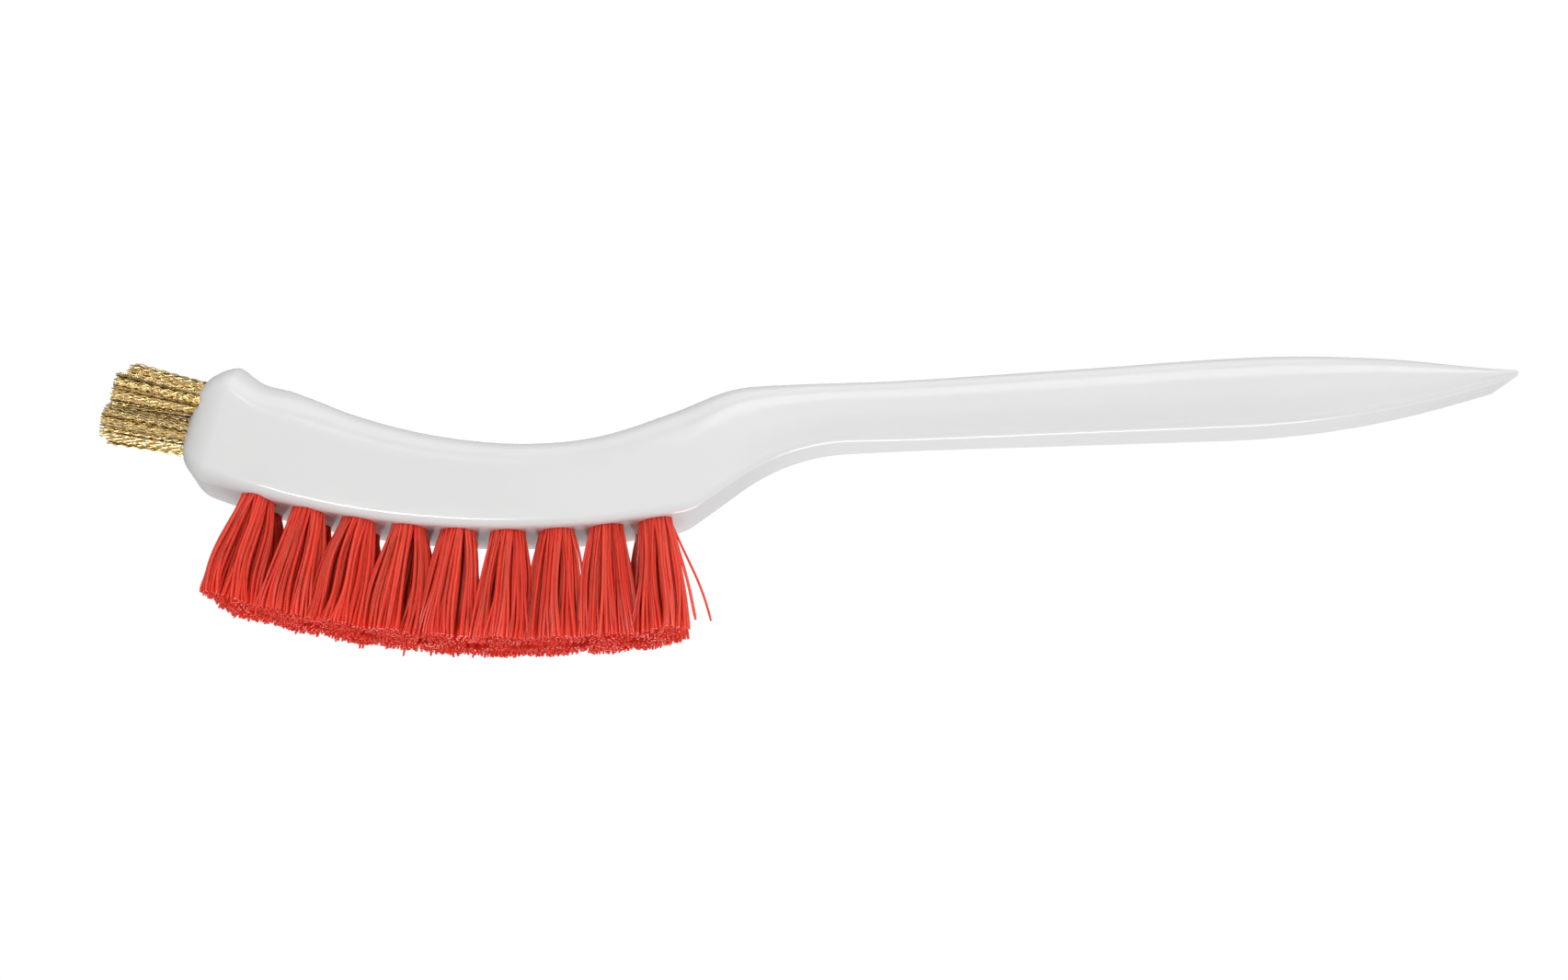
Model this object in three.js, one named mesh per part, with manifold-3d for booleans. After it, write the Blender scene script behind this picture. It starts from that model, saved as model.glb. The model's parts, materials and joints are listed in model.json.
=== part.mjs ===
// A two-ended detail brush, bristles down. One moulded plastic handle holds eighteen red nylon tufts
// in the curved underside of its head, and five brass wire tufts in its nose. Each tuft is a bundle
// folded over a flat metal anchor at the bottom of a blind hole.
//
// Millimetres and degrees. X runs from the brass end (-X) to the handle's tip (+X), and is 0 at the
// lowest point of the head's underside. Z points up, and is 0 on the handle's flat underside.
// Y is 0 on the plane of symmetry.

import * as THREE from 'three';
import { mergeVertices } from 'three/addons/utils/BufferGeometryUtils.js';
import Module from 'manifold-3d';

// ---- driving dimensions ----

const FIT_GAP = 0.3; // between pieces that touch

// The head's underside is an arc. Behind the heel it climbs a ramp, levels out into the handle's flat
// underside, and rises again to the chisel tip.
const HEAD = { arcRadius: 128, lowest: -11.8 };
const HEEL = { start: 20.9, slope: 33, arcRadius: 30, rounding: 0.6, blend: 10 };
const TIP = { x: 146.9, riseStart: 103, rise: 6.1, rounding: 0.5, endScale: [0.93, 0.45] };

// The crown line over the top: nose hump, finger rest, neck, palm swell, tip.
const CROWN = [
  [-45, 15.5], [-42.5, 15.2], [-39, 12.5], [-35, 11.1], [-26, 6.9], [-15, 3.5], [-3, 1.8], [8, 2.4],
  [19, 5.6], [27, 8.5], [32, 9.2], [52, 9.5], [80, 10.4], [108, 11.3], [126, 10.4], [146.9, 7.4],
];

// Half widths: [x, at the widest height, of the underside's flat].
const PLAN = [
  [-46, 7.3, 6.8], [-36, 7.6, 7.3], [0, 8.0, 7.8], [18, 8.1, 7.9], [27, 7.7, 7.3], [36, 6.2, 5.5],
  [46, 5.2, 4.5], [56, 4.8, 4.1], [80, 5.2, 4.5], [110, 5.8, 5.0], [126, 5.9, 5.3], [140, 5.4, 5.0],
  [146.9, 5.2, 5.0],
];

// Section shape: [x, how square the top is (2 is an ellipse), height of the widest part, edge radius].
const SECTION = [
  [-46, 1.6, 0.72, 2.4], [-38, 1.9, 0.62, 1.6], [-28, 2.6, 0.5, 1.25], [20, 2.9, 0.5, 1.25],
  [46, 3.2, 0.5, 1.1], [146.9, 3.0, 0.5, 0.9],
];
const EDGE_SHARE = 0.6; // the most of the widest part's height that the edge radius may take

// The nose closes in a dome whose axis leans up. Sections lean with it from leanStart forwards. With
// flatness and crease both 1 it is an ellipsoid. Less flatness makes the front flatter, and more
// crease makes the dome break away from the side walls more sharply.
const NOSE = {
  x: -44.7, lean: 15, leanStart: -28, depth: 5.0, flatness: 0.6, crease: 1.33,
  ringAngles: [78, 64, 50, 36, 20, 8],
};

// Where the rings round the handle lie: [from x, to x, how many], closer where it bends.
const RING_ZONES = [
  [NOSE.x, -34, 6], [-34, 19, 11], [19, 23, 4], [23, 46, 8], [46, 103, 6], [103, TIP.x, 8],
];

// Two rows of nylon tufts, which fan out along X from a point far above the head's rear.
const NYLON = {
  perRow: 9,
  first: -39.9, // x of the foremost hole
  pitch: 6.94,
  rowOffset: 4.0, // from the plane of symmetry
  holeRadius: 2.4,
  holeDepth: 8,
  fanCentreX: 15.6,
  fanRadius: 196,
  tipRadius: { along: 3.5, across: 4.2 },
  tipShift: 0.9, // outwards across the head
  straight: 0.5, // how far it stands out before it spreads
  sides: 14,
};

// The arc to which the nylon is trimmed.
const TRIM = { centreX: 3, radius: 145, lowest: -27.7 };

// Brass tufts on a circle round the nose's apex, the first at the top.
const BRASS = {
  count: 5,
  circleRadius: 3.95,
  circleRise: 0.35,
  pitchUp: 14.5, // above horizontal
  holeRadius: 1.8,
  holeDepth: 7,
  tipRadius: { along: 1.95, across: 1.95 },
  reach: 11.0, // from the apex to the cut ends
  cutLean: 0.17, // how much shorter the ends are cut for each millimetre up
  straight: 1.2,
  sides: 12,
};

// The anchor bites into each side of the hole, and stands above its bottom by the fold of the bundle.
const ANCHOR = { bite: 0.3, height: 2.4, thickness: 0.5, fold: 1.5, chamfer: 0.4 };

const DRILL_POINT = 0.7; // depth of the cone under a drilled hole's straight wall
const HOLE_SIDES = 16;
const CLEAR = 4; // how far a cutter stands out of the surface

// The folded end of a bundle: its narrowest part as a share of its width, and where it is full width.
const FOLD = { narrowest: 0.6, length: 0.6 };
const SPREAD_RINGS = [0.3, 0.65, 1]; // where rings lie along the part of a bundle that spreads
const TRIM_STEPS = 6; // rounds in which a filament's length closes on the trim line

const MATERIALS = {
  plastic: { color: 0xe4e5e7, roughness: 0.28, metalness: 0 },
  nylon: { color: 0xd8402f, roughness: 0.45, metalness: 0 },
  brass: { color: 0xc99a4a, roughness: 0.35, metalness: 0.9 },
  steel: { color: 0xa9adb0, roughness: 0.35, metalness: 0.9 },
};

// ---- helpers ----

const radians = THREE.MathUtils.degToRad;

/** A smooth curve y(x) through rows [x, y, ...], reading the given column. */
function through(rows, column = 1) {
  const slope = (i) => {
    const before = rows[Math.max(i - 1, 0)];
    const after = rows[Math.min(i + 1, rows.length - 1)];
    return (after[column] - before[column]) / (after[0] - before[0]);
  };
  return (x) => {
    let i = rows.findIndex((row, n) => n > 0 && x <= row[0]);
    i = i < 0 ? rows.length - 1 : i;
    const [left, right] = [rows[i - 1], rows[i]];
    const span = right[0] - left[0];
    const t = THREE.MathUtils.clamp((x - left[0]) / span, 0, 1);
    const bend = t * t * (3 - 2 * t);
    return left[column] * (1 - bend) + right[column] * bend
      + span * t * (1 - t) * (slope(i - 1) * (1 - t) - slope(i) * t);
  };
}

/** A closed body through rings of points, each end closed by a fan around the ring's middle. */
function loft(rings, middles = [centreOf(rings[0]), centreOf(rings.at(-1))]) {
  const sides = rings[0].length;
  const points = [...rings.flat(), ...middles];
  const index = [];
  for (let r = 0; r < rings.length - 1; r += 1) {
    for (let s = 0; s < sides; s += 1) {
      const a = r * sides + s;
      const b = r * sides + ((s + 1) % sides);
      index.push(a, b, b + sides, a, b + sides, a + sides);
    }
  }
  const last = (rings.length - 1) * sides;
  const first = points.length - 2;
  for (let s = 0; s < sides; s += 1) {
    const next = (s + 1) % sides;
    index.push(first, next, s, first + 1, last + s, last + next);
  }
  const geometry = new THREE.BufferGeometry().setFromPoints(points);
  geometry.setIndex(index);
  return geometry;
}

function centreOf(ring) {
  return ring.reduce((sum, p) => sum.add(p), new THREE.Vector3()).divideScalar(ring.length);
}

const wasm = await Module();
wasm.setup();

function toSolid(geometry) {
  const bare = geometry.clone();
  bare.deleteAttribute('normal');
  bare.deleteAttribute('uv');
  const merged = mergeVertices(bare, 1e-5);
  return new wasm.Manifold(new wasm.Mesh({
    numProp: 3,
    vertProperties: new Float32Array(merged.attributes.position.array),
    triVerts: new Uint32Array(merged.index.array),
  }));
}

function toGeometry(solid) {
  const mesh = solid.getMesh();
  const geometry = new THREE.BufferGeometry();
  geometry.setAttribute('position', new THREE.BufferAttribute(mesh.vertProperties, 3));
  geometry.setIndex(new THREE.BufferAttribute(mesh.triVerts, 1));
  geometry.computeVertexNormals();
  return geometry;
}

function cut(geometry, cutters) {
  return toGeometry(cutters.reduce((solid, cutter) => solid.subtract(toSolid(cutter)), toSolid(geometry)));
}

function named(name, geometry, material) {
  const mesh = new THREE.Mesh(geometry, new THREE.MeshStandardMaterial(MATERIALS[material]));
  mesh.name = name;
  return mesh;
}

// ---- the handle ----

const crown = through(CROWN);
const halfWidth = through(PLAN, 1);
const halfFlat = through(PLAN, 2);
const squareness = through(SECTION, 1);
const widestAt = through(SECTION, 2);
const edgeRadius = through(SECTION, 3);

function headArc(x) {
  return HEAD.lowest + HEAD.arcRadius - Math.sqrt(HEAD.arcRadius ** 2 - x ** 2);
}

/** The ramp behind the heel, tangent to the handle's flat underside. */
function heelRamp(x) {
  const slope = radians(HEEL.slope);
  const arcRun = HEEL.arcRadius * Math.sin(slope);
  const arcRise = HEEL.arcRadius * (1 - Math.cos(slope));
  const straightRun = (-arcRise - headArc(HEEL.start)) / Math.tan(slope);
  const fromLevel = HEEL.start + straightRun + arcRun - x;
  if (fromLevel <= 0) return 0;
  if (fromLevel >= arcRun) return -arcRise - (fromLevel - arcRun) * Math.tan(slope);
  return Math.sqrt(HEEL.arcRadius ** 2 - fromLevel ** 2) - HEEL.arcRadius;
}

/** Height of the underside, with the heel's corner rounded between arc and ramp. */
function underside(x) {
  if (x >= TIP.riseStart) return TIP.rise * ((x - TIP.riseStart) / (TIP.x - TIP.riseStart)) ** 2;
  if (x >= HEEL.start + HEEL.blend) return heelRamp(x);
  const [arc, ramp] = [headArc(x), heelRamp(x)];
  const near = Math.max(HEEL.rounding - Math.abs(arc - ramp), 0) / HEEL.rounding;
  return Math.max(arc, ramp) + near ** 2 * HEEL.rounding / 4;
}

/** Half of a section from the underside's flat to the crown, as [y, height] pairs. */
function halfSection(x, height) {
  const wide = halfWidth(x);
  const flat = halfFlat(x);
  const middle = height * widestAt(x);
  const corner = Math.min(edgeRadius(x), middle * EDGE_SHARE);
  const power = 2 / squareness(x);
  const points = [];
  for (const a of [0, 30, 60, 90]) {
    const turn = radians(a);
    points.push([flat - corner + corner * Math.sin(turn), corner * (1 - Math.cos(turn))]);
  }
  for (const t of [0.4, 0.75]) {
    const rise = corner + (middle - corner) * t;
    points.push([flat + (wide - flat) * Math.sin(t * Math.PI / 2), rise]);
  }
  for (const a of [0, 18, 34, 48, 62, 76, 90]) {
    const turn = radians(a);
    const across = a === 90 ? 0 : wide * Math.cos(turn) ** power;
    points.push([across, middle + (height - middle) * Math.sin(turn) ** power]);
  }
  return points;
}

/** One ring round the handle. Towards the nose its plane leans back. */
function handleRing(x) {
  const leaning = THREE.MathUtils.smoothstep(-x, -NOSE.leanStart, -NOSE.x);
  const guess = crown(x) - underside(x);
  const shift = leaning * guess / 2 * Math.sin(radians(NOSE.lean));
  const bottom = new THREE.Vector3(x - shift, 0, underside(x - shift));
  const top = new THREE.Vector3(x + shift, 0, crown(x + shift));
  const up = top.clone().sub(bottom);
  const height = up.length();
  up.normalize();
  const half = halfSection(x, height);
  const other = half.slice(0, -1).reverse().map(([y, h]) => [-y, h]);
  return [...half, ...other].map(([y, h]) => bottom.clone().addScaledVector(up, h).setY(y));
}

/** The dome: the last ring shrinks towards its middle as it moves forward. */
function noseRings() {
  const ring = handleRing(NOSE.x);
  const bottom = ring[0].clone().setY(0);
  const top = ring[(ring.length - 1) / 2];
  const middle = bottom.clone().add(top).multiplyScalar(0.5);
  const up = top.clone().sub(bottom).normalize();
  const forward = new THREE.Vector3(-up.z, 0, up.x);
  const apex = middle.clone().addScaledVector(forward, NOSE.depth);
  const rings = NOSE.ringAngles.map(radians).map((a) => {
    const centre = middle.clone().addScaledVector(forward, NOSE.depth * Math.sin(a) ** NOSE.crease);
    const scale = Math.cos(a) ** NOSE.flatness;
    return ring.map((p) => p.clone().sub(middle).multiplyScalar(scale).add(centre));
  });
  return { rings, apex };
}

function handleBody() {
  const { rings: nose, apex } = noseRings();
  const stations = RING_ZONES.flatMap(([from, to, count]) => (
    Array.from({ length: count }, (_, i) => from + ((to - from) * i) / count)
  ));
  const rings = [...nose, ...[...stations, TIP.x].map(handleRing)];
  const last = rings.at(-1);
  const middle = centreOf(last);
  const shrink = new THREE.Vector3(1, ...TIP.endScale);
  const end = last.map((p) => p.clone().sub(middle).multiply(shrink).add(middle));
  end.forEach((p) => { p.x += TIP.rounding; });
  rings.push(end);
  return loft(rings, [apex, centreOf(end)]);
}

// ---- tufts, their holes and their anchors ----
// Each is built around its own local Z, which points out of the hole and is 0 at its mouth.

/** A drilled blind hole with a pointed bottom, long enough outwards to clear the surface. */
function holeCutter(radius, depth) {
  const profile = [[0, -depth - DRILL_POINT], [radius, -depth], [radius, CLEAR], [0, CLEAR]];
  const lathe = new THREE.LatheGeometry(profile.map(([r, z]) => new THREE.Vector2(r, z)), HOLE_SIDES);
  return lathe.rotateX(Math.PI / 2);
}

/** A rectangular slot across a hole, at the anchor's height, wider than the anchor by the gap. */
function slotCutter(depth, width) {
  const { height, thickness, fold } = ANCHOR;
  const slot = new THREE.BoxGeometry(thickness + 2 * FIT_GAP, width, height + 2 * FIT_GAP);
  return slot.translate(0, 0, -depth + fold + height / 2);
}

/** The flat anchor, as wide as the hole and its bite, with its leading corners broken. */
function anchor(radius, depth) {
  const { bite, height, thickness, fold, chamfer } = ANCHOR;
  const half = radius + bite;
  const outline = new THREE.Shape([
    [-half, height], [-half, chamfer], [-half + chamfer, 0], [half - chamfer, 0], [half, chamfer],
    [half, height],
  ].map(([x, y]) => new THREE.Vector2(x, y)));
  const plate = new THREE.ExtrudeGeometry(outline, { depth: thickness, bevelEnabled: false });
  plate.translate(0, 0, -thickness / 2).rotateX(Math.PI / 2).rotateZ(Math.PI / 2);
  return plate.translate(0, 0, -depth + fold);
}

function ellipse(sides, rx, ry, cy, heightAt) {
  return Array.from({ length: sides }, (_, i) => {
    const a = (2 * Math.PI * i) / sides;
    const x = rx * Math.cos(a);
    return new THREE.Vector3(x, cy + ry * Math.sin(a), heightAt(x));
  });
}

/** A bundle from its fold in the hole to its cut end, where reach(x) is the length it stands out. */
function tuft({ radius, depth, sides, tip, tipShift, reach, straight }) {
  const inner = radius - FIT_GAP;
  const foldAt = -depth + FIT_GAP;
  const rings = [
    ellipse(sides, inner * FOLD.narrowest, inner * FOLD.narrowest, 0, () => foldAt),
    ellipse(sides, inner, inner, 0, () => foldAt + FOLD.length),
    ellipse(sides, inner, inner, 0, () => straight),
  ];
  for (const t of SPREAD_RINGS) {
    const rx = inner + (tip.along - inner) * t;
    const ry = inner + (tip.across - inner) * t;
    rings.push(ellipse(sides, rx, ry, tipShift * t, (x) => straight + (reach(x) - straight) * t));
  }
  const ends = [new THREE.Vector3(0, 0, foldAt), new THREE.Vector3(0, tipShift, reach(0))];
  return cut(loft(rings, ends), [slotCutter(depth, 2 * radius + 2)]);
}

/** The cuts that a tuft's place needs in the handle. */
function socketCutters(place, radius, depth) {
  place.updateMatrix();
  const slotWidth = 2 * (radius + ANCHOR.bite + FIT_GAP);
  return [holeCutter(radius, depth), slotCutter(depth, slotWidth)]
    .map((cutter) => cutter.applyMatrix4(place.matrix));
}

function trimLine(x) {
  return TRIM.lowest + TRIM.radius - Math.sqrt(TRIM.radius ** 2 - (x - TRIM.centreX) ** 2);
}

/** How far a filament at local x stands out before the trim line cuts it. */
function nylonReach(place, x) {
  let z = NYLON.holeRadius;
  for (let step = 0; step < TRIM_STEPS; step += 1) {
    const at = new THREE.Vector3(x, 0, z).applyMatrix4(place.matrix);
    z += at.z - trimLine(at.x);
  }
  return z;
}

function nylonPlaces() {
  const places = [];
  for (const [row, side] of [['near', -1], ['far', 1]]) {
    for (let i = 0; i < NYLON.perRow; i += 1) {
      const place = new THREE.Group();
      const x = NYLON.first + i * NYLON.pitch;
      place.position.set(x, side * NYLON.rowOffset, headArc(x));
      place.rotation.y = Math.PI - (x - NYLON.fanCentreX) / NYLON.fanRadius;
      place.updateMatrix();
      places.push({ place, side, label: `${row}_${i + 1}` });
    }
  }
  return places;
}

/** The dome's apex, and how far its surface lies behind the apex plane at a place on the nose. */
const noseApex = noseRings().apex;
function domeDrop(up, across) {
  const halfHeight = (crown(NOSE.x) - underside(NOSE.x)) / 2;
  const away = (up / halfHeight) ** 2 + (across / halfWidth(NOSE.x)) ** 2;
  return NOSE.depth * (1 - (1 - away ** (1 / NOSE.flatness)) ** (NOSE.crease / 2));
}

function brassPlaces() {
  return Array.from({ length: BRASS.count }, (_, i) => {
    const place = new THREE.Group();
    const around = (2 * Math.PI * i) / BRASS.count;
    const up = BRASS.circleRise + BRASS.circleRadius * Math.cos(around);
    const across = BRASS.circleRadius * Math.sin(around);
    const drop = domeDrop(up, across);
    place.rotation.y = radians(BRASS.pitchUp - 90);
    place.position.set(up, across, -drop).applyEuler(place.rotation).add(noseApex);
    const reach = BRASS.reach + drop - BRASS.cutLean * up;
    return { place, reach, label: `${i + 1}` };
  });
}

// ---- the assembly ----

const brush = new THREE.Group();
const sockets = [];

for (const { place, side, label } of nylonPlaces()) {
  const { holeRadius: radius, holeDepth: depth, sides, straight, tipRadius: tip } = NYLON;
  const tipShift = side * NYLON.tipShift;
  const bundle = tuft({
    radius, depth, sides, straight, tip, tipShift, reach: (x) => nylonReach(place, x),
  });
  place.add(named(`nylon_tuft_${label}`, bundle, 'nylon'));
  place.add(named(`nylon_anchor_${label}`, anchor(radius, depth), 'steel'));
  sockets.push(...socketCutters(place, radius, depth));
  brush.add(place);
}

for (const { place, reach, label } of brassPlaces()) {
  const { holeRadius: radius, holeDepth: depth, sides, straight, tipRadius: tip } = BRASS;
  const bundle = tuft({
    radius, depth, sides, straight, tip, tipShift: 0, reach: () => reach,
  });
  place.add(named(`brass_tuft_${label}`, bundle, 'brass'));
  place.add(named(`brass_anchor_${label}`, anchor(radius, depth), 'brass'));
  sockets.push(...socketCutters(place, radius, depth));
  brush.add(place);
}

brush.add(named('handle', cut(handleBody(), sockets), 'plastic'));

// The origin is the middle of the underside of the whole brush's box.
const box = new THREE.Box3().setFromObject(brush, true);
const middle = box.getCenter(new THREE.Vector3());
brush.position.set(-middle.x, -middle.y, -box.min.z);

export default brush;
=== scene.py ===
# The looks of a two-ended detail brush, bristles down: a moulded plastic handle, eighteen tufts of
# red nylon filaments under its head, and five tufts of crimped brass wire in its nose.
#
# Shapes are worked out in millimetres in the part's own design frame, as in the CAD source: X is 0 at
# the lowest point of the head's underside, Z is 0 on the handle's flat underside, Y is 0 on the plane
# of symmetry. in_metres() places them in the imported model's frame.

import bisect
import json
import math

import bpy
import numpy as np
from mathutils import Matrix, Vector


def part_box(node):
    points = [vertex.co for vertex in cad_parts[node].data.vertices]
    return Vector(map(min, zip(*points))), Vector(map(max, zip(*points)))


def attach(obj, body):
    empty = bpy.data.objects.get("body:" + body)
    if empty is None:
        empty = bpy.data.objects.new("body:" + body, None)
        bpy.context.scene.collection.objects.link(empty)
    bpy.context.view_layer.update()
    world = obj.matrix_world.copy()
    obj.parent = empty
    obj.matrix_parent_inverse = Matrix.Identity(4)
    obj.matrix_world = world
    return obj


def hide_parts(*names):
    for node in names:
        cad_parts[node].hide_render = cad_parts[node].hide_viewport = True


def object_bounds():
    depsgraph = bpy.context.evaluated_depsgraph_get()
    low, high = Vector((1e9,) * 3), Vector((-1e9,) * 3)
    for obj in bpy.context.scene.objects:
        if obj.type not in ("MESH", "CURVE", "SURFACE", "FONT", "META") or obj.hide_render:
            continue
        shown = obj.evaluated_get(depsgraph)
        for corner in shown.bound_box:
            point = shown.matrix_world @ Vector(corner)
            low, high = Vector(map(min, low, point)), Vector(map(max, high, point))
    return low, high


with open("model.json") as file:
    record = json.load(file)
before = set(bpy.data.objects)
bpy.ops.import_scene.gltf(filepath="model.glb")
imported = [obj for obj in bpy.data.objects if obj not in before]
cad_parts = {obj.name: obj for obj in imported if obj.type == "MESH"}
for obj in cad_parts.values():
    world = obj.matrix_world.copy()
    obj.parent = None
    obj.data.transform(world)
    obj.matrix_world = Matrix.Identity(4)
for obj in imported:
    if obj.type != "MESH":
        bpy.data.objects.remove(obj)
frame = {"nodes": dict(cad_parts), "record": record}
cad_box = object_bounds()

# ---- driving dimensions of the handle, the same as the CAD's ----

# The underside: an arc under the head, a ramp at the heel up to the flat handle (z = 0), and a rise
# at the tip, whose end keeps these shares of its width and height.
HEAD_RADIUS = 128
HEAD_LOWEST = -11.8
HEEL = {"start": 20.9, "slope": 33, "radius": 30, "rounding": 0.6, "blend": 10}
TIP = {"x": 146.9, "rise_start": 103, "rise": 6.1, "rounding": 0.5, "end": (0.93, 0.45)}

# The nose: its foremost section leans back by so many degrees, and a dome of this depth caps it.
NOSE = {"x": -44.7, "lean": 15, "lean_start": -28, "depth": 5.0, "flatness": 0.6, "crease": 1.33}

# The crown line: (x, z).
CROWN = [
    (-45, 15.5), (-42.5, 15.2), (-39, 12.5), (-35, 11.1), (-26, 6.9), (-15, 3.5), (-3, 1.8), (8, 2.4),
    (19, 5.6), (27, 8.5), (32, 9.2), (52, 9.5), (80, 10.4), (108, 11.3), (126, 10.4), (146.9, 7.4),
]

# Half widths: (x, at the widest height, of the underside's flat).
PLAN = [
    (-46, 7.3, 6.8), (-36, 7.6, 7.3), (0, 8.0, 7.8), (18, 8.1, 7.9), (27, 7.7, 7.3), (36, 6.2, 5.5),
    (46, 5.2, 4.5), (56, 4.8, 4.1), (80, 5.2, 4.5), (110, 5.8, 5.0), (126, 5.9, 5.3), (140, 5.4, 5.0),
    (146.9, 5.2, 5.0),
]

# Section: (x, how square the top is, height of the widest part, edge radius).
SECTION = [
    (-46, 1.6, 0.72, 2.4), (-38, 1.9, 0.62, 1.6), (-28, 2.6, 0.5, 1.25), (20, 2.9, 0.5, 1.25),
    (46, 3.2, 0.5, 1.1), (146.9, 3.0, 0.5, 0.9),
]
EDGE_SHARE = 0.6  # the most of the widest part's height that the edge radius may take

# Where the rings round the handle lie: (from x, to x, how many).
RING_ZONES = [
    (NOSE["x"], -34, 22), (-34, 19, 54), (19, 23, 16), (23, 46, 30), (46, 103, 30), (103, TIP["x"], 30),
]
DOME_RINGS = 16
TIP_RINGS = 5

# Points on half a section: across the underside, round its edge, up the wall and over the crown.
SECTION_POINTS = {"flat": 8, "edge": 9, "wall": 8, "crown": 25}

# ---- driving dimensions of the tufts ----

# Two rows of nylon tufts, fanned along the head. A tuft stands plumb at fan_centre, and tilts by one
# radian for each fan_radius from there.
NYLON = {
    "per_row": 9, "first": -39.9, "pitch": 6.94, "row_offset": 4.0, "hole": 2.4, "depth": 8,
    "fan_centre": 15.6, "fan_radius": 196,
}

# The arc that the nylon is trimmed to: where along the head it is lowest, its radius, and how low.
TRIM = {"centre": 3, "radius": 145, "lowest": -27.7}

# A circle of brass tufts round the nose's axis, which points pitch_up degrees above level. Each spreads
# to the tip radius. The cut leans back towards the top.
BRASS = {
    "count": 5, "circle": 3.95, "rise": 0.35, "pitch_up": 14.5, "hole": 1.8, "depth": 7,
    "tip": 2.3, "reach": 11.0, "cut_lean": 0.17,
}

# One nylon tuft's filaments. They start inside the hole, inset from its wall, and end on an ellipse of
# the given half axes, moved outwards by tip_shift. flare is how early they spread. Locks are groups
# that cling together: gather is the share of the way that a filament is drawn to its lock half way
# out, and hold is how much of that is left at its end. A share of them is cut late, and none reaches
# further across the head than widest.
FILAMENT = {
    "count": 160, "radius": 0.2, "inset": 0.12, "steps": 22, "sides": 6, "start": -3.0, "jitter": 0.05,
    "tip_along": 4.3, "tip_across": 4.5, "tip_shift": 0.5, "spread": 0.14, "flare": 2.0, "bow": 0.16,
    "locks": 12, "gather": (0.26, 0.65), "hold": 0.12, "ragged": 0.13, "late": 0.04,
    "late_by": (0.27, 0.9), "widest": 8.95,
}

# The sideways drift of neighbouring filaments: so many waves, how fine they are across the tuft, how
# far they turn along it, and how large they grow.
DRIFT = {"waves": 4, "fineness": 0.9, "turns": (2, 7), "size": 0.18}

# Tufts that lean along the head: how far their ends are moved back, towards the handle.
LEANING = {"far_1": 1.2, "far_2": 0.8, "far_3": 0.9, "far_4": 1.4, "near_2": 0.4, "near_3": -0.5}

# Filaments that have sprung out of a tuft: how far back and how far across their ends lie from the
# tuft's axis, and how far they stand out.
SPRUNG = {
    "near_2": ((3.4, 0.5, 15.6),), "near_3": ((-3.6, -0.5, 15.8),), "near_6": ((3.8, -0.6, 15.7),),
    "near_8": ((-4.6, -0.4, 15.2), (3.6, 0.4, 15.6)), "near_9": ((5.2, 0.2, 14.6), (7.3, 0.7, 15.0)),
}
SPRUNG_FLARE = 1.15  # they run nearly straight
SPRUNG_APART = 0.6  # between the feet of two from the same tuft

# One brass tuft's wires: crimp is the height of their waves and wave the range of their lengths.
WIRE = {
    "count": 190, "radius": 0.1, "inset": 0.05, "steps": 44, "sides": 6, "start": -2.0, "jitter": 0.03,
    "crimp": 0.12, "wave": (1.4, 1.9), "spread": 0.16, "ragged": 0.4,
}

STRAND_RADII = (0.85, 1.1)  # the range of a strand's radius, as a share of the nominal one
CUT_END = 0.72  # how much of its radius a strand keeps at its broken edge
FIRST_REACH = 14.0  # a first guess of a filament's length
TRIM_STEPS = 6  # rounds in which it closes on the trim line
NYLON_SEED = 100
BRASS_SEED = 500

# Edges that bend more than this many degrees are shaded sharp.
SHARP = {"handle": 38, "strand": 50}

MM = 0.001

# The CAD says where the design frame lies: the handle ends at the tip, and its only mount is its flat
# underside.
handle_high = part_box("handle")[1]
underside_mount = frame["record"]["mounts"][0]["pos_m"]
ORIGIN = np.array([handle_high.x / MM - TIP["x"] - TIP["rounding"], 0, underside_mount[2] / MM])


def in_metres(points):
    return (np.asarray(points, float) + ORIGIN) * MM


# ---- helpers ----

def through(rows, column=1):
    """A smooth curve y(x) through rows (x, y, ...), reading the given column."""
    xs = [row[0] for row in rows]
    ys = [row[column] for row in rows]
    last = len(rows) - 1

    def slope(i):
        before, after = max(i - 1, 0), min(i + 1, last)
        return (ys[after] - ys[before]) / (xs[after] - xs[before])

    def curve(x):
        i = min(max(bisect.bisect_left(xs, x), 1), last)
        span = xs[i] - xs[i - 1]
        t = min(max((x - xs[i - 1]) / span, 0), 1)
        bend = t * t * (3 - 2 * t)
        lean = slope(i - 1) * (1 - t) - slope(i) * t
        return ys[i - 1] * (1 - bend) + ys[i] * bend + span * t * (1 - t) * lean

    return curve


def smoothstep(t):
    t = min(max(t, 0), 1)
    return t * t * (3 - 2 * t)


def new_object(name, mesh):
    obj = bpy.data.objects.new(name, mesh)
    bpy.context.scene.collection.objects.link(obj)
    return obj


def shade(mesh, sharp_angle):
    mesh.shade_smooth()
    mesh.set_sharp_from_angle(angle=math.radians(sharp_angle))


def band_faces(rings, sides):
    """Quads between rings of so many points each, numbered ring by ring."""
    faces = []
    for ring in range(rings - 1):
        for s in range(sides):
            a, b = ring * sides + s, ring * sides + (s + 1) % sides
            faces.append((a, b, b + sides, a + sides))
    return faces


def finish_piece(obj, node, slot, *materials):
    """Gives a piece its materials, hangs it on the root, and hides the CAD part that it replaces."""
    obj.data.materials.clear()
    for look in materials:
        obj.data.materials.append(look)
    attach(obj, "root")
    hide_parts(node)


# ---- the handle's shape ----

crown = through(CROWN)
half_width = through(PLAN, 1)
half_flat = through(PLAN, 2)
squareness = through(SECTION, 1)
widest_at = through(SECTION, 2)
edge_radius = through(SECTION, 3)


def head_arc(x):
    return HEAD_LOWEST + HEAD_RADIUS - math.sqrt(HEAD_RADIUS ** 2 - x ** 2)


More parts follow.
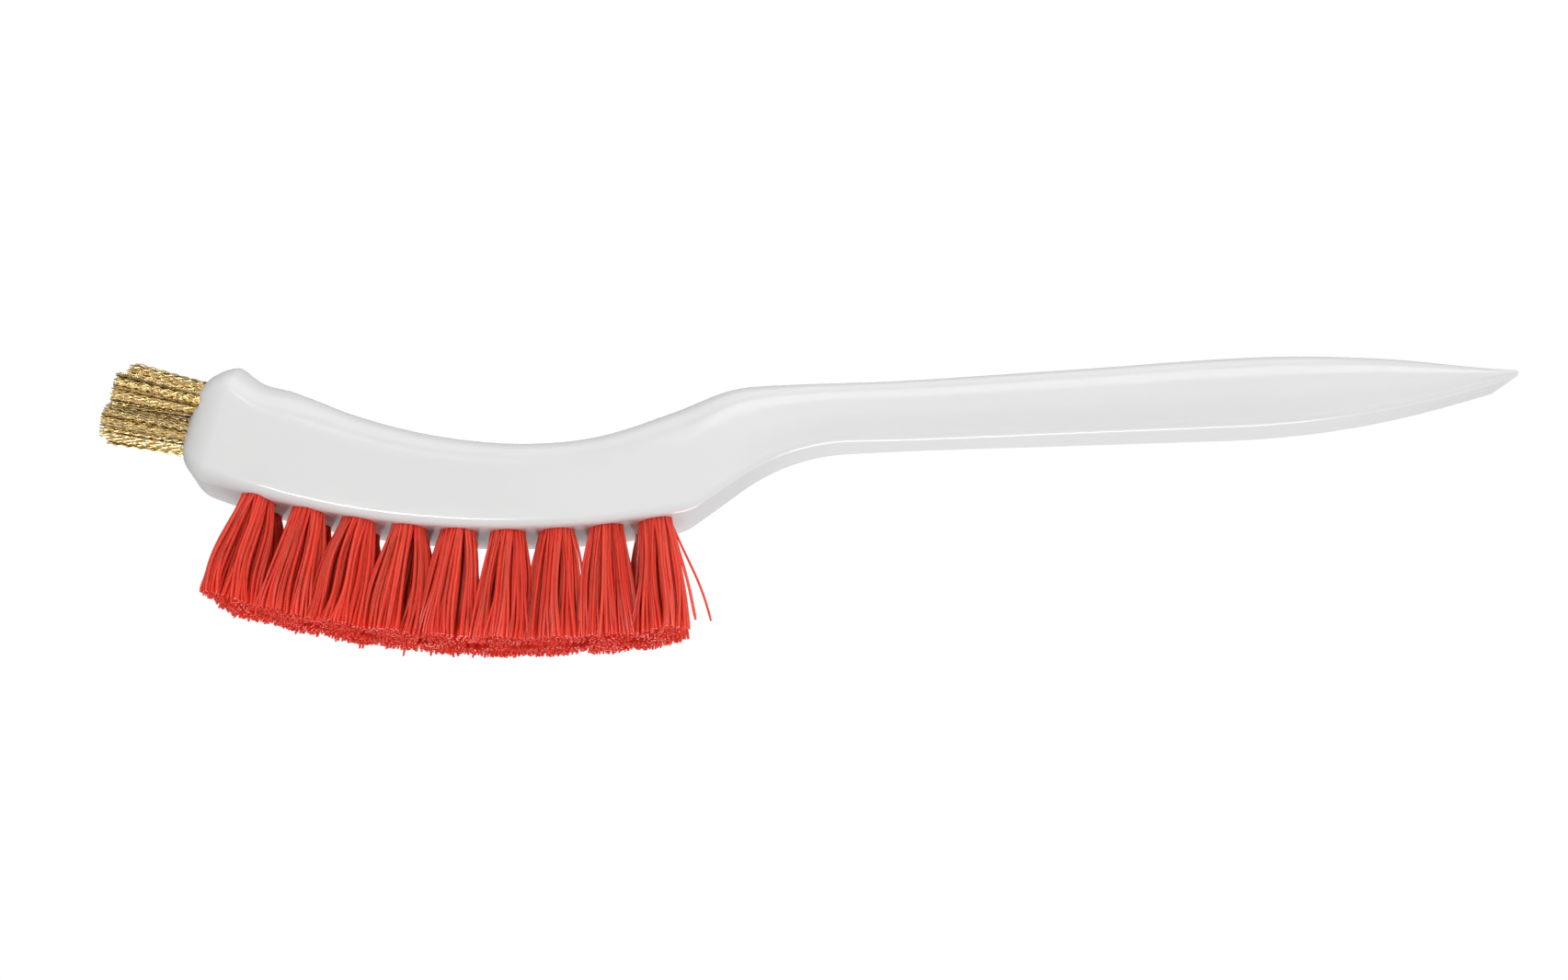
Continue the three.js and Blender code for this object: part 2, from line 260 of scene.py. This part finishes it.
def heel_ramp(x):
    slope = math.radians(HEEL["slope"])
    radius = HEEL["radius"]
    arc_run = radius * math.sin(slope)
    arc_rise = radius * (1 - math.cos(slope))
    straight_run = (-arc_rise - head_arc(HEEL["start"])) / math.tan(slope)
    from_level = HEEL["start"] + straight_run + arc_run - x
    if from_level <= 0:
        return 0
    if from_level >= arc_run:
        return -arc_rise - (from_level - arc_run) * math.tan(slope)
    return math.sqrt(radius ** 2 - from_level ** 2) - radius


def underside(x):
    if x >= TIP["rise_start"]:
        return TIP["rise"] * ((x - TIP["rise_start"]) / (TIP["x"] - TIP["rise_start"])) ** 2
    if x >= HEEL["start"] + HEEL["blend"]:
        return heel_ramp(x)
    arc, ramp = head_arc(x), heel_ramp(x)
    near = max(HEEL["rounding"] - abs(arc - ramp), 0) / HEEL["rounding"]
    return max(arc, ramp) + near ** 2 * HEEL["rounding"] / 4


def half_section(x, height):
    """Half of a section from the middle of the underside to the crown, as (y, height) pairs."""
    wide, flat = half_width(x), half_flat(x)
    middle = height * widest_at(x)
    corner = min(edge_radius(x), middle * EDGE_SHARE)
    power = 2 / squareness(x)
    quarter = math.pi / 2
    points = [((flat - corner) * t, 0) for t in np.linspace(0, 1, SECTION_POINTS["flat"], endpoint=False)]
    for turn in np.linspace(0, quarter, SECTION_POINTS["edge"]):
        points.append((flat - corner + corner * math.sin(turn), corner * (1 - math.cos(turn))))
    for t in np.linspace(0, 1, SECTION_POINTS["wall"] + 2)[1:-1]:
        across = flat + (wide - flat) * math.sin(t * quarter)
        points.append((across, corner + (middle - corner) * t))
    for turn in np.linspace(0, quarter, SECTION_POINTS["crown"]):
        across = wide * max(math.cos(turn), 0) ** power
        points.append((across, middle + (height - middle) * math.sin(turn) ** power))
    return points


def handle_ring(x):
    """One ring round the handle. Towards the nose its plane leans back."""
    leaning = smoothstep((NOSE["lean_start"] - x) / (NOSE["lean_start"] - NOSE["x"]))
    shift = leaning * (crown(x) - underside(x)) / 2 * math.sin(math.radians(NOSE["lean"]))
    bottom = np.array([x - shift, 0, underside(x - shift)])
    top = np.array([x + shift, 0, crown(x + shift)])
    height = np.linalg.norm(top - bottom)
    up = (top - bottom) / height
    half = half_section(x, height)
    other = [(-y, h) for y, h in half[-2:0:-1]]
    return np.array([bottom + up * h + (0, y, 0) for y, h in half + other])


def nose_frame():
    """The middle of the foremost section, the dome's axis there, and its apex."""
    ring = handle_ring(NOSE["x"])
    bottom, top = ring[0], ring[len(ring) // 2]
    middle = (bottom + top) / 2
    up = (top - bottom) / np.linalg.norm(top - bottom)
    forward = np.array([-up[2], 0, up[0]])
    return middle, forward, middle + forward * NOSE["depth"]


def handle_rings():
    middle, forward, apex = nose_frame()
    ring = handle_ring(NOSE["x"])
    rings = []
    for turn in np.linspace(math.pi / 2, 0, DOME_RINGS, endpoint=False)[1:]:
        centre = middle + forward * NOSE["depth"] * math.sin(turn) ** NOSE["crease"]
        rings.append((ring - middle) * math.cos(turn) ** NOSE["flatness"] + centre)
    for start, stop, count in RING_ZONES:
        rings += [handle_ring(x) for x in np.linspace(start, stop, count, endpoint=False)]
    last = handle_ring(TIP["x"])
    rings.append(last)
    middle = last.mean(0)
    for turn in np.linspace(0, math.pi / 2, TIP_RINGS + 1)[1:]:
        shrink = 1 - math.cos(turn)
        scale = (1, 1 - (1 - TIP["end"][0]) * shrink, 1 - (1 - TIP["end"][1]) * shrink)
        rings.append((last - middle) * scale + middle + (TIP["rounding"] * math.sin(turn), 0, 0))
    return apex, rings


def handle_mesh():
    apex, rings = handle_rings()
    sides = len(rings[0])
    points = np.vstack([*rings, [apex], [rings[-1].mean(0)]])
    faces = band_faces(len(rings), sides)
    last = (len(rings) - 1) * sides
    for s in range(sides):
        after = (s + 1) % sides
        faces.append((len(points) - 2, after, s))
        faces.append((len(points) - 1, last + s, last + after))
    mesh = bpy.data.meshes.new("handle_skin")
    mesh.from_pydata(in_metres(points).tolist(), [], faces)
    return mesh


# ---- places of the tufts: each local Z points out of its hole, and is 0 at the mouth ----

def place(origin, turn):
    """Maps points of a local frame, turned about Y, to the design frame."""
    axes = np.array([(math.cos(turn), 0, -math.sin(turn)), (0, 1, 0), (math.sin(turn), 0, math.cos(turn))])
    return lambda points: np.asarray(points, float) @ axes + origin


def nylon_places():
    for row, side in (("near", -1), ("far", 1)):
        for i in range(NYLON["per_row"]):
            x = NYLON["first"] + i * NYLON["pitch"]
            turn = math.pi - (x - NYLON["fan_centre"]) / NYLON["fan_radius"]
            origin = np.array([x, side * NYLON["row_offset"], head_arc(x)])
            yield f"{row}_{i + 1}", side, place(origin, turn)


def dome_drop(up, across):
    """How far the dome's surface lies behind its apex."""
    half_height = (crown(NOSE["x"]) - underside(NOSE["x"])) / 2
    away = (up / half_height) ** 2 + (across / half_width(NOSE["x"])) ** 2
    return NOSE["depth"] * (1 - (1 - away ** (1 / NOSE["flatness"])) ** (NOSE["crease"] / 2))


def brass_places():
    apex = nose_frame()[2]
    turn = math.radians(BRASS["pitch_up"] - 90)
    to_nose = place(apex, turn)
    for i in range(BRASS["count"]):
        around = 2 * math.pi * i / BRASS["count"]
        up = BRASS["rise"] + BRASS["circle"] * math.cos(around)
        across = BRASS["circle"] * math.sin(around)
        drop = dome_drop(up, across)
        reach = BRASS["reach"] + drop - BRASS["cut_lean"] * up
        yield f"{i + 1}", reach, place(to_nose((up, across, -drop)), turn)


# ---- holes ----

HOLE_SIDES = 40
DRILL_POINT = 0.7  # depth of the cone under a hole's straight wall
POINT_RADIUS = 0.02
CLEAR = 4  # how far a cutter stands out of the surface


def hole_cutters():
    """One mesh with a pointed cutter for each hole."""
    points, faces = [], []
    angles = np.linspace(0, 2 * math.pi, HOLE_SIDES, endpoint=False)
    holes = [(to, NYLON["hole"], NYLON["depth"]) for _, _, to in nylon_places()]
    holes += [(to, BRASS["hole"], BRASS["depth"]) for _, _, to in brass_places()]
    for to_design, radius, depth in holes:
        base = len(points)
        profile = [(POINT_RADIUS, -depth - DRILL_POINT), (radius, -depth), (radius, CLEAR)]
        for r, z in profile:
            circle = [(r * math.cos(a), r * math.sin(a), z) for a in angles]
            points.extend(in_metres(to_design(circle)).tolist())
        for face in band_faces(len(profile), HOLE_SIDES):
            faces.append(tuple(base + corner for corner in face))
        top = base + (len(profile) - 1) * HOLE_SIDES
        faces.append(tuple(range(top, top + HOLE_SIDES)))
        faces.append(tuple(range(base + HOLE_SIDES - 1, base - 1, -1)))
    mesh = bpy.data.meshes.new("holes")
    mesh.from_pydata(points, [], faces)
    return mesh


def cut(obj, cutter_mesh):
    cutter = new_object("cutter", cutter_mesh)
    modifier = obj.modifiers.new("holes", "BOOLEAN")
    modifier.operation = "DIFFERENCE"
    modifier.solver = "EXACT"
    modifier.object = cutter
    bpy.context.view_layer.update()
    depsgraph = bpy.context.evaluated_depsgraph_get()
    result = bpy.data.meshes.new_from_object(obj.evaluated_get(depsgraph))
    obj.modifiers.clear()
    obj.data = result
    bpy.data.objects.remove(cutter)


# ---- filaments and wires ----

ACROSS_STRANDS = (0.13, 0.97, 0.21)  # a direction in which no strand runs


def strand_mesh(name, paths, radii, sides, shades):
    """Tubes along paths of equal point counts, each ending in a flat cut with a broken edge. Every
    point keeps its strand's shade for the material."""
    paths = np.asarray(paths, float)
    count, steps, _ = paths.shape
    heading = np.gradient(paths, axis=1)
    heading /= np.linalg.norm(heading, axis=2, keepdims=True)
    across = np.cross(heading, ACROSS_STRANDS)
    across /= np.linalg.norm(across, axis=2, keepdims=True)
    other = np.cross(heading, across)
    angles = np.linspace(0, 2 * math.pi, sides, endpoint=False)
    spokes = across[:, :, None] * np.cos(angles)[:, None] + other[:, :, None] * np.sin(angles)[:, None]
    thickness = np.ones(steps)
    thickness[-1] = CUT_END
    spokes = spokes * np.asarray(radii, float)[:, None, None, None] * thickness[:, None, None]
    points = (paths[:, :, None] + spokes).reshape(-1, 3)
    ring = np.arange(sides)
    quad = np.stack([ring, np.roll(ring, -1), np.roll(ring, -1) + sides, ring + sides], 1)
    tube = (quad[None] + np.arange(steps - 1)[:, None, None] * sides).reshape(-1, 4)
    quads = (tube[None] + np.arange(count)[:, None, None] * steps * sides).reshape(-1, 4)
    starts = np.arange(count) * steps * sides
    ends = (starts + (steps - 1) * sides)[:, None] + ring
    heads = starts[:, None] + ring[::-1]
    mesh = bpy.data.meshes.new(name)
    mesh.from_pydata(in_metres(points).tolist(), [], quads.tolist() + ends.tolist() + heads.tolist())
    shade(mesh, SHARP["strand"])
    cut_faces = np.zeros(len(mesh.polygons), np.int32)
    cut_faces[len(quads):len(quads) + count] = 1
    mesh.polygons.foreach_set("material_index", cut_faces)
    strand = mesh.attributes.new("strand", "FLOAT", "POINT")
    strand.data.foreach_set("value", np.repeat(shades, steps * sides).astype(np.float32))
    return mesh


def packed_disc(count, radius):
    """Points spread evenly over a disc."""
    i = np.arange(count) + 0.5
    r = radius * np.sqrt(i / count)
    a = i * math.pi * (3 - math.sqrt(5))
    return np.stack([r * np.cos(a), r * np.sin(a)], 1)


def trim_line(x):
    return TRIM["lowest"] + TRIM["radius"] - np.sqrt(TRIM["radius"] ** 2 - (x - TRIM["centre"]) ** 2)


def wander(base, out, random):
    """A smooth sideways drift, much the same for neighbouring filaments, growing towards the ends."""
    drift = np.zeros((*out.shape, 2))
    for _ in range(DRIFT["waves"]):
        across = random.normal(0, DRIFT["fineness"], 2)
        wave = base @ across
        turns = random.uniform(*DRIFT["turns"])
        phase = random.uniform(0, 2 * math.pi, 2)
        for axis in (0, 1):
            drift[:, :, axis] += np.sin(wave[:, None] + turns * out + phase[axis])
    return drift * out[:, :, None] * DRIFT["size"]


def lengths(tip, to_design, random):
    """How far each filament stands out before the trim line cuts it, with a few cut late."""
    reach = np.full(len(tip), FIRST_REACH)
    for _ in range(TRIM_STEPS):
        ends = to_design(np.column_stack([tip, reach]))
        reach += ends[:, 2] - trim_line(ends[:, 0])
    uneven = -np.abs(random.normal(0, FILAMENT["ragged"], len(tip))) + FILAMENT["ragged"] / 2
    late = random.uniform(0, 1, len(tip)) < FILAMENT["late"]
    uneven[late] = random.uniform(*FILAMENT["late_by"], late.sum())
    reach += uneven
    ends = to_design(np.column_stack([tip, reach]))
    above_lowest = ends[:, 2] - TRIM["lowest"] - FILAMENT["radius"] / 2
    return reach + np.minimum(above_lowest, 0)


def nylon_tuft(label, side, to_design, random):
    """Filaments that leave the hole parallel, spread at once, and cling together in locks on the way
    to the trim line."""
    count = FILAMENT["count"]
    inner = NYLON["hole"] - FILAMENT["inset"]
    base = packed_disc(count, inner) + random.normal(0, FILAMENT["jitter"], (count, 2))
    tip = base * (FILAMENT["tip_along"] / inner, FILAMENT["tip_across"] / inner)
    tip += random.normal(0, FILAMENT["spread"], (count, 2))
    seeds = tip[random.choice(count, FILAMENT["locks"], replace=False)]
    lock = np.argmin(np.linalg.norm(tip[:, None] - seeds[None], axis=2), axis=1)
    pull = (seeds[lock] - tip) * random.uniform(*FILAMENT["gather"], (count, 1))
    tip += (-LEANING.get(label, 0), side * FILAMENT["tip_shift"])
    reach = lengths(tip + pull * FILAMENT["hold"], to_design, random)
    flare = np.full((count, 1), FILAMENT["flare"])
    for number, (back, aside, length) in enumerate(SPRUNG.get(label, ())):
        tip[number] = (-back, side * aside)
        base[number] = (-math.copysign(inner, back), -side * SPRUNG_APART * number)
        reach[number] = length
        pull[number] = 0
        flare[number] = SPRUNG_FLARE

    start = FILAMENT["start"]
    z = start + (reach[:, None] - start) * np.linspace(0, 1, FILAMENT["steps"])
    out = np.clip(z / reach[:, None], 0, 1)
    spread = (1 - (1 - out) ** flare)[:, :, None]
    belly = np.sin(math.pi * out)[:, :, None]
    bow = random.normal(0, FILAMENT["bow"], (count, 1, 2)) * belly
    held = pull[:, None] * (out[:, :, None] * FILAMENT["hold"] + belly * (1 - FILAMENT["hold"]))
    flat = base[:, None] + (tip - base)[:, None] * spread + bow + held + wander(base, out, random)
    most = FILAMENT["widest"] - NYLON["row_offset"]
    flat[:, :, 1] = side * np.minimum(side * flat[:, :, 1], most)
    paths = to_design(np.concatenate([flat, z[:, :, None]], 2).reshape(-1, 3))
    radii = FILAMENT["radius"] * random.uniform(*STRAND_RADII, count)
    return paths.reshape(count, FILAMENT["steps"], 3), radii


def brass_tuft(length, to_design, random):
    """Crimped wires, nearly parallel, with ragged cut ends."""
    count, steps = WIRE["count"], WIRE["steps"]
    inner = BRASS["hole"] - WIRE["inset"]
    base = packed_disc(count, inner) + random.normal(0, WIRE["jitter"], (count, 2))
    tip = base * (BRASS["tip"] / BRASS["hole"]) + random.normal(0, WIRE["spread"], (count, 2))
    reach = length - np.abs(random.normal(0, WIRE["ragged"], count)) + WIRE["ragged"] / 2
    start = WIRE["start"]
    z = start + (reach[:, None] - start) * np.linspace(0, 1, steps)
    out = np.clip(z / reach[:, None], 0, 1)
    wave = random.uniform(*WIRE["wave"], (count, 1))
    phase = random.uniform(0, 2 * math.pi, (count, 1))
    swing = WIRE["crimp"] * np.sin(2 * math.pi * z / wave + phase)
    aside = random.uniform(0, math.pi, (count, 1))
    flat = base[:, None] + (tip - base)[:, None] * out[:, :, None]
    flat = flat + np.stack([swing * np.cos(aside), swing * np.sin(aside)], 2)
    paths = to_design(np.concatenate([flat, z[:, :, None]], 2).reshape(-1, 3))
    radii = WIRE["radius"] * random.uniform(*STRAND_RADII, count)
    return paths.reshape(count, steps, 3), radii


# ---- materials ----

def node_maker(tree):
    """A function that adds a node to the tree and links or sets its inputs."""

    def add(kind, inputs=None, **settings):
        node = tree.nodes.new(kind)
        for key, value in settings.items():
            setattr(node, key, value)
        for key, value in (inputs or {}).items():
            if isinstance(value, bpy.types.NodeSocket):
                tree.links.new(value, node.inputs[key])
            else:
                node.inputs[key].default_value = value
        return node

    return add


def material(name):
    """A new node material, its shader, its node maker and its links."""
    mat = bpy.data.materials.new(name)
    mat.use_nodes = True
    tree = mat.node_tree
    return mat, tree.nodes["Principled BSDF"], node_maker(tree), tree.links


def ramp(add, factor, *stops):
    """A colour ramp through (position, colour) stops; a colour may be a single grey value."""
    node = add("ShaderNodeValToRGB", {"Fac": factor})
    elements = node.color_ramp.elements
    while len(elements) < len(stops):
        elements.new(0.5)
    for element, (position, colour) in zip(elements, stops):
        element.position = position
        element.color = (*(colour if isinstance(colour, tuple) else (colour,) * 3), 1)
    return node.outputs["Color"]


def noise(add, scale, detail=3, roughness=0.5, stretch=(1, 1, 1)):
    """Noise at so many cells a metre, stretched along the object's axes."""
    place_on = add("ShaderNodeTexCoord").outputs["Object"]
    stretched = add("ShaderNodeMapping", {"Vector": place_on, "Scale": stretch}).outputs["Vector"]
    inputs = {"Vector": stretched, "Scale": scale, "Detail": detail, "Roughness": roughness}
    return add("ShaderNodeTexNoise", inputs).outputs["Fac"]


def plastic_material():
    mat, shader, add, links = material("pale_plastic")
    cloud = noise(add, 60, 4, 0.55, (0.4, 1, 1))
    colour = ramp(add, cloud, (0.3, (0.735, 0.735, 0.738)), (0.7, (0.765, 0.765, 0.765)))
    links.new(colour, shader.inputs["Base Color"])
    scuff = noise(add, 900, 5, 0.6, (0.25, 1, 1))
    links.new(ramp(add, scuff, (0.3, 0.12), (0.75, 0.22)), shader.inputs["Roughness"])
    orange_peel = noise(add, 420, 2, 0.4)
    bump = add("ShaderNodeBump", {"Strength": 0.12, "Distance": 0.0002, "Height": orange_peel})
    links.new(bump.outputs["Normal"], shader.inputs["Normal"])
    shader.inputs["IOR"].default_value = 1.49
    shader.inputs["Subsurface Weight"].default_value = 0.2
    shader.inputs["Subsurface Radius"].default_value = (1, 0.9, 0.85)
    shader.inputs["Subsurface Scale"].default_value = 0.0015
    return mat


def nylon_material(name, dark, light, roughness):
    mat, shader, add, links = material(name)
    strand = add("ShaderNodeAttribute", attribute_name="strand").outputs["Fac"]
    streak = noise(add, 1400, 3, 0.6, (1, 1, 0.15))
    mix = add("ShaderNodeMath", {0: strand, 1: streak}, operation="MULTIPLY").outputs[0]
    links.new(ramp(add, mix, (0.05, dark), (0.6, light)), shader.inputs["Base Color"])
    links.new(ramp(add, streak, (0.3, roughness[0]), (0.7, roughness[1])), shader.inputs["Roughness"])
    shader.inputs["IOR"].default_value = 1.53
    shader.inputs["Specular IOR Level"].default_value = 0.32
    shader.inputs["Subsurface Weight"].default_value = 0.5
    shader.inputs["Subsurface Radius"].default_value = (1, 0.15, 0.1)
    shader.inputs["Subsurface Scale"].default_value = 0.0006
    return mat


def brass_material(name, dark, middle, light, roughness):
    mat, shader, add, links = material(name)
    strand = add("ShaderNodeAttribute", attribute_name="strand").outputs["Fac"]
    # Where strand and noise are both low, the colour falls to the dark stop. On the wires' sides this is
    # painted shade: the dark gaps between the wires. The same noise also varies the roughness.
    shade_and_roughness_noise = noise(add, 2200, 3, 0.6)
    mix = add("ShaderNodeMath", {0: strand, 1: shade_and_roughness_noise}, operation="MULTIPLY").outputs[0]
    links.new(ramp(add, mix, (0.06, dark), (0.2, middle), (0.5, light)), shader.inputs["Base Color"])
    links.new(ramp(add, shade_and_roughness_noise, (0.3, roughness[0]), (0.7, roughness[1])), shader.inputs["Roughness"])
    shader.inputs["Metallic"].default_value = 1
    return mat


def anchor_material(name, dark, light):
    """Cold-drawn strip, with the draw lines along it."""
    mat, shader, add, links = material(name)
    lines = noise(add, 9000, 3, 0.6, (0.08, 0.08, 1))
    links.new(ramp(add, lines, (0.3, dark), (0.7, light)), shader.inputs["Base Color"])
    links.new(ramp(add, lines, (0.3, 0.25), (0.7, 0.45)), shader.inputs["Roughness"])
    shader.inputs["Metallic"].default_value = 1
    return mat


# ---- making the pieces ----

plastic = plastic_material()
handle = new_object("handle_shell", handle_mesh())
cut(handle, hole_cutters())
shade(handle.data, SHARP["handle"])
finish_piece(handle, "handle", "plastic", plastic)

nylon_side = nylon_material("red_nylon", (0.78, 0.050, 0.027), (0.97, 0.100, 0.060), (0.25, 0.4))
# The cut ends are paler than the sides, as cut nylon is, and are made lighter still with painted light so
# that the ends look lit.
nylon_end_with_painted_light = nylon_material("red_nylon_cut", (0.90, 0.30, 0.21), (0.96, 0.43, 0.32), (0.5, 0.7))
for number, (label, side, to_design) in enumerate(nylon_places()):
    random = np.random.default_rng(NYLON_SEED + number)
    paths, radii = nylon_tuft(label, side, to_design, random)
    shades = random.uniform(0, 1, len(paths))
    mesh = strand_mesh(f"nylon_{label}", paths, radii, FILAMENT["sides"], shades)
    tuft = new_object(f"nylon_filaments_{label}", mesh)
    finish_piece(tuft, f"nylon_tuft_{label}", "nylon", nylon_side, nylon_end_with_painted_light)

# The darkest colour of the wires is painted shade between them. The middle and light colours are the
# brass's own tones.
brass_side = brass_material(
    "brass_wire", (0.14, 0.08, 0.02), (1.0, 0.73, 0.29), (1.0, 0.88, 0.56), (0.06, 0.16))
brass_end = brass_material(
    "brass_wire_cut", (0.10, 0.06, 0.02), (0.28, 0.18, 0.08), (0.50, 0.36, 0.18), (0.3, 0.5))
for number, (label, length, to_design) in enumerate(brass_places()):
    random = np.random.default_rng(BRASS_SEED + number)
    paths, radii = brass_tuft(length, to_design, random)
    shades = random.uniform(0, 1, len(paths))
    mesh = strand_mesh(f"brass_{label}", paths, radii, WIRE["sides"], shades)
    tuft = new_object(f"brass_wires_{label}", mesh)
    finish_piece(tuft, f"brass_tuft_{label}", "brass_wire", brass_side, brass_end)

steel_strip = anchor_material("steel_strip", (0.32, 0.33, 0.34), (0.62, 0.63, 0.64))
brass_strip = anchor_material("brass_strip", (0.45, 0.29, 0.10), (0.80, 0.56, 0.25))
for name, node in frame["nodes"].items():
    if "anchor" in name:
        node.material_slots[0].material = steel_strip if name.startswith("nylon") else brass_strip

# ---- floor, light and camera ----

low, high = cad_box
centre = (low + high) / 2


def towards(azimuth, elevation):
    """Unit vector from the brush towards a place round it; azimuth 0 is the near side."""
    a, e = math.radians(azimuth), math.radians(elevation)
    return Vector((math.sin(a) * math.cos(e), -math.cos(a) * math.cos(e), math.sin(e)))


FLOOR = {"half": 1.2, "fade": (0.25, 1.1)}  # metres; it fades into the white surround


def floor():
    """A pale floor at the bristles' ends. It is one-sided, since the camera is a little below it."""
    mesh = bpy.data.meshes.new("floor")
    half = FLOOR["half"]
    corners = [(-half, -half, 0), (half, -half, 0), (half, half, 0), (-half, half, 0)]
    mesh.from_pydata(corners, [], [(0, 1, 2, 3)])
    obj = new_object("floor", mesh)
    mat, shader, add, links = material("pale_floor")
    speckle = noise(add, 300, 3)
    links.new(ramp(add, speckle, (0.3, 0.80), (0.7, 0.83)), shader.inputs["Base Color"])
    shader.inputs["Roughness"].default_value = 1
    shader.inputs["Specular IOR Level"].default_value = 0
    clear = add("ShaderNodeBsdfTransparent").outputs["BSDF"]
    beneath = add("ShaderNodeNewGeometry").outputs["Backfacing"]
    place_on = add("ShaderNodeTexCoord").outputs["Object"]
    away = add("ShaderNodeVectorMath", {0: place_on}, operation="LENGTH").outputs["Value"]
    near, far = FLOOR["fade"]
    fade = add("ShaderNodeMapRange", {"Value": away, "From Min": near, "From Max": far},
               interpolation_type="SMOOTHSTEP").outputs["Result"]
    unseen = add("ShaderNodeMath", {0: beneath, 1: fade}, operation="MAXIMUM").outputs[0]
    either = add("ShaderNodeMixShader", {"Fac": unseen, 1: shader.outputs["BSDF"], 2: clear})
    output = mat.node_tree.nodes["Material Output"]
    links.new(either.outputs["Shader"], output.inputs["Surface"])
    mesh.materials.append(mat)
    obj.visible_diffuse = False
    obj.visible_glossy = False
    obj.visible_transmission = False
    obj.visible_shadow = False


floor()

BRIGHT_SIDE = (0.62, -0.25, -0.74)  # the studio is brighter to the right and below
SURROUND = (0.29, 0.76)  # the light from its darkest and its brightest side
SURROUND_COLOUR = (0.99, 0.995, 1, 1)


def studio():
    """White to the camera, with a separate surround that lights the brush."""
    world = bpy.data.worlds.new("studio")
    bpy.context.scene.world = world
    world.use_nodes = True
    tree = world.node_tree
    add = node_maker(tree)
    backdrop = tree.nodes["Background"]
    backdrop.inputs["Color"].default_value = (1, 1, 1, 1)
    backdrop.inputs["Strength"].default_value = 1
    outwards = add("ShaderNodeTexCoord").outputs["Generated"]
    facing = add("ShaderNodeVectorMath", {0: outwards, 1: BRIGHT_SIDE}, operation="DOT_PRODUCT")
    darkest, brightest = SURROUND
    level = add("ShaderNodeMapRange", {
        "Value": facing.outputs["Value"], "From Min": -1, "To Min": darkest, "To Max": brightest,
    }).outputs["Result"]
    surround = add("ShaderNodeBackground", {"Color": SURROUND_COLOUR, "Strength": level})
    seen = add("ShaderNodeLightPath").outputs["Is Camera Ray"]
    either = add("ShaderNodeMixShader", {"Fac": seen, 1: surround.outputs[0], 2: backdrop.outputs[0]})
    tree.links.new(either.outputs[0], tree.nodes["World Output"].inputs["Surface"])


studio()

LIGHT_DISTANCE = 0.8  # metres from the middle of the brush


def softbox(name, azimuth, elevation, size, power, colour=(1, 1, 1)):
    """A rectangular light that faces the brush: its size in metres and its power in watts."""
    light = bpy.data.lights.new(name, "AREA")
    light.shape = "RECTANGLE"
    light.size, light.size_y = size
    light.energy = power
    light.color = colour
    obj = bpy.data.objects.new(name, light)
    bpy.context.scene.collection.objects.link(obj)
    direction = towards(azimuth, elevation)
    obj.location = centre + direction * LIGHT_DISTANCE
    obj.rotation_euler = direction.to_track_quat("Z", "Y").to_euler()


softbox("front", 14, 10, (0.5, 0.3), 0.3)
softbox("front_high", 24, 36, (0.6, 0.35), 1.8)
softbox("below", 0, -86, (0.8, 0.6), 1.4)
softbox("behind_below", 176, -42, (0.8, 0.4), 3.4)
softbox("above", 0, 80, (0.8, 0.5), 1.2)
softbox("behind", 175, 20, (0.7, 0.35), 1.2)
softbox("flash", -14, -2, (0.2, 0.03), 1.25, (1, 0.98, 0.95))

CAMERA = {
    "lens": 50, "sensor": 36, "azimuth": -6.84, "elevation": -13.85, "roll": -3.86,
    "distance": 0.3186, "target": (34.97, 0, -6.0), "clip": (0.01, 50),
}
camera_data = bpy.data.cameras.new("camera")
camera_data.lens = CAMERA["lens"]
camera_data.sensor_width = CAMERA["sensor"]
camera_data.clip_start, camera_data.clip_end = CAMERA["clip"]
camera = bpy.data.objects.new("camera", camera_data)
bpy.context.scene.collection.objects.link(camera)
back = towards(CAMERA["azimuth"], CAMERA["elevation"])
level = back.to_track_quat("Z", "Y").to_matrix().to_4x4()
rolled = level @ Matrix.Rotation(math.radians(CAMERA["roll"]), 4, "Z")
aim = Vector(in_metres(CAMERA["target"]))
camera.matrix_world = Matrix.Translation(aim + back * CAMERA["distance"]) @ rolled
bpy.context.scene.camera = camera
bpy.context.scene.view_settings.view_transform = "Standard"
